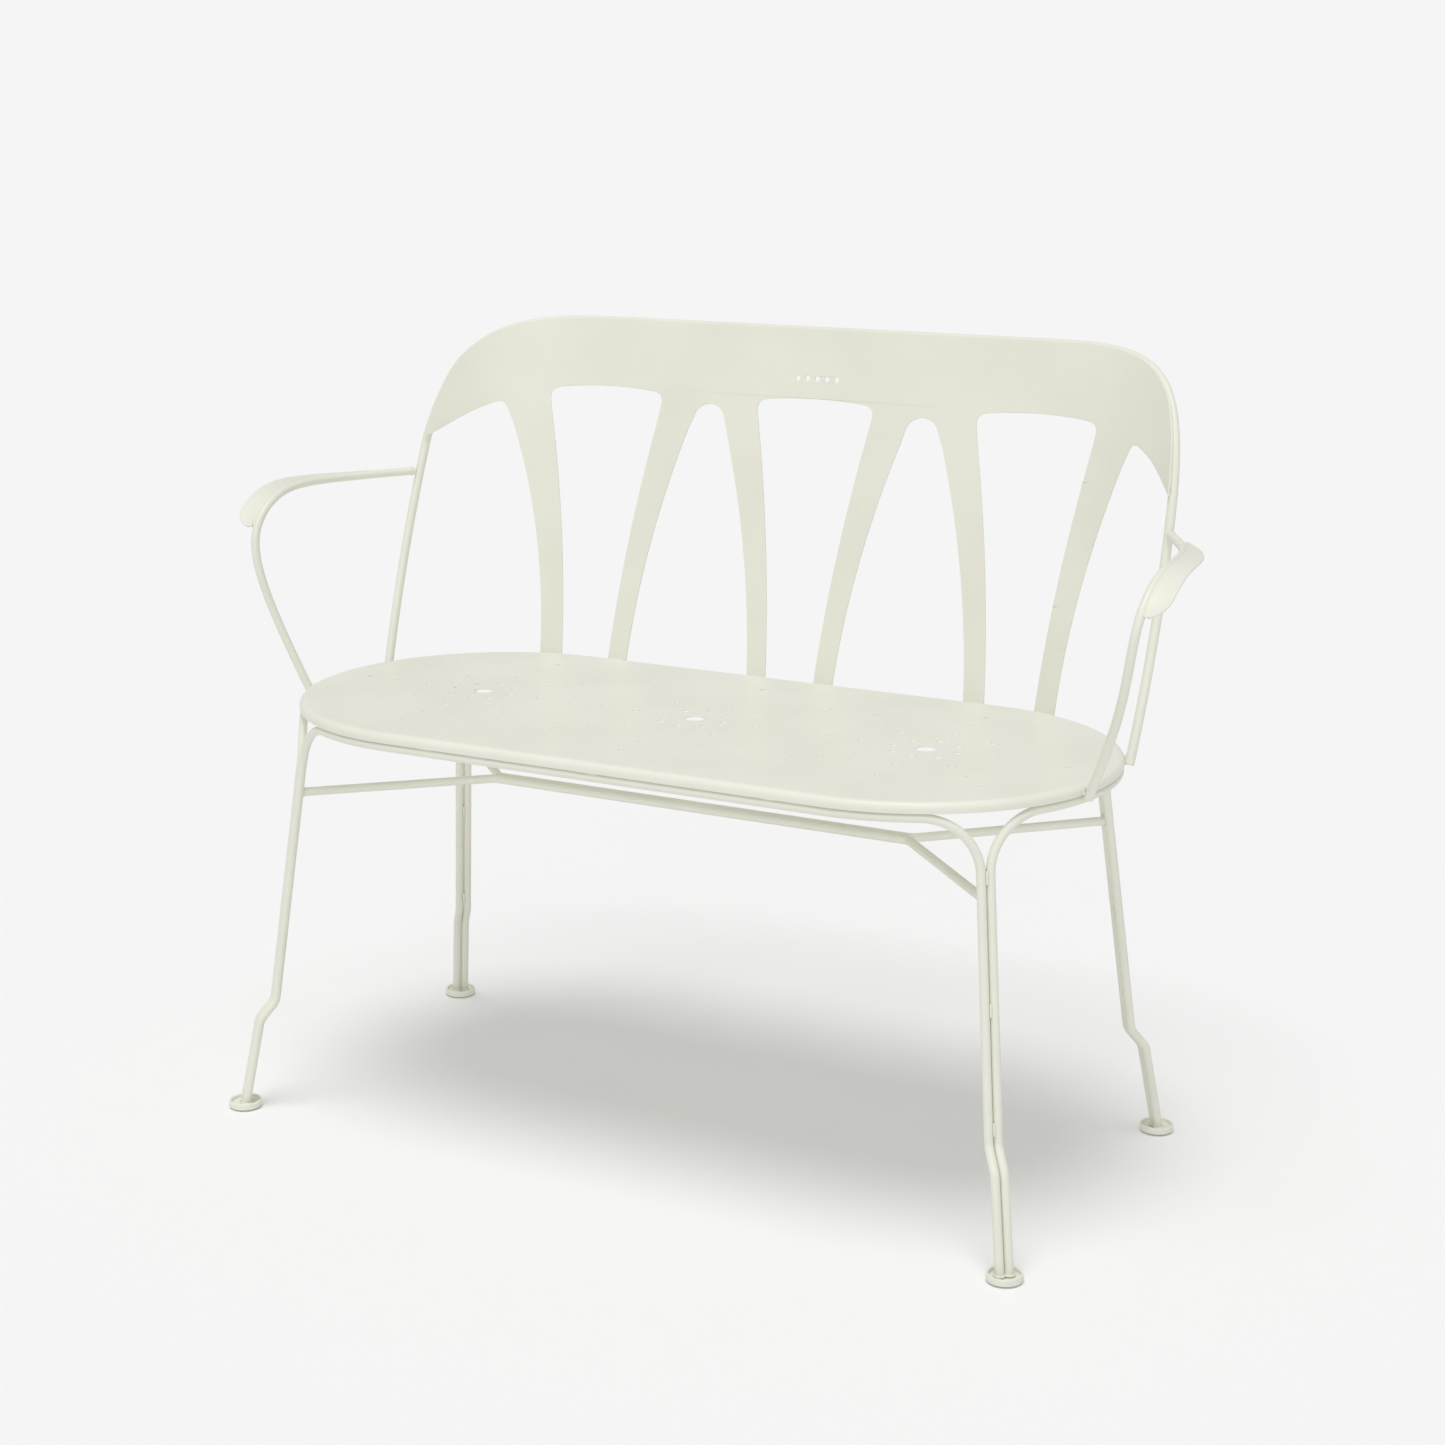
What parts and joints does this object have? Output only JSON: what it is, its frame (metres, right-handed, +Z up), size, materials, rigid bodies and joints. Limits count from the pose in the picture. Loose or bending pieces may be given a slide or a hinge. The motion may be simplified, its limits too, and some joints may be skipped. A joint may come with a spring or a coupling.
{
  "type": "garden bench",
  "caption": "Two-seat outdoor bench with a perforated steel seat, a curved openwork back on a tube hoop, rod arms with bent rests, and splayed rod legs.",
  "frame": {"origin": "on the floor under the middle of the bench's box", "axes": "+X along the length, to the right of a person facing the back; +Y towards the back; +Z up"},
  "size_m": [1.0926, 0.5316, 0.8397],
  "materials": {
    "powder_coat": "satin",
    "glide_plastic": "matte"
  },
  "bodies": {
    "root": {"seat_pan": "powder_coat", "front_rail_and_legs": "powder_coat", "rear_rail_and_legs": "powder_coat", "right_rail_and_legs": "powder_coat", "left_rail_and_legs": "powder_coat", "front_brace_rod": "powder_coat", "rear_brace_rod": "powder_coat", "back_panel": "powder_coat", "back_hoop": "powder_coat", "right_arm_rod": "powder_coat", "left_arm_rod": "powder_coat", "right_armrest": "powder_coat", "left_armrest": "powder_coat", "front_right_foot": "powder_coat", "front_left_foot": "powder_coat", "rear_right_foot": "powder_coat", "rear_left_foot": "powder_coat", "front_right_glide": "glide_plastic", "front_left_glide": "glide_plastic", "rear_right_glide": "glide_plastic", "rear_left_glide": "glide_plastic"}
  },
  "joints": []
}
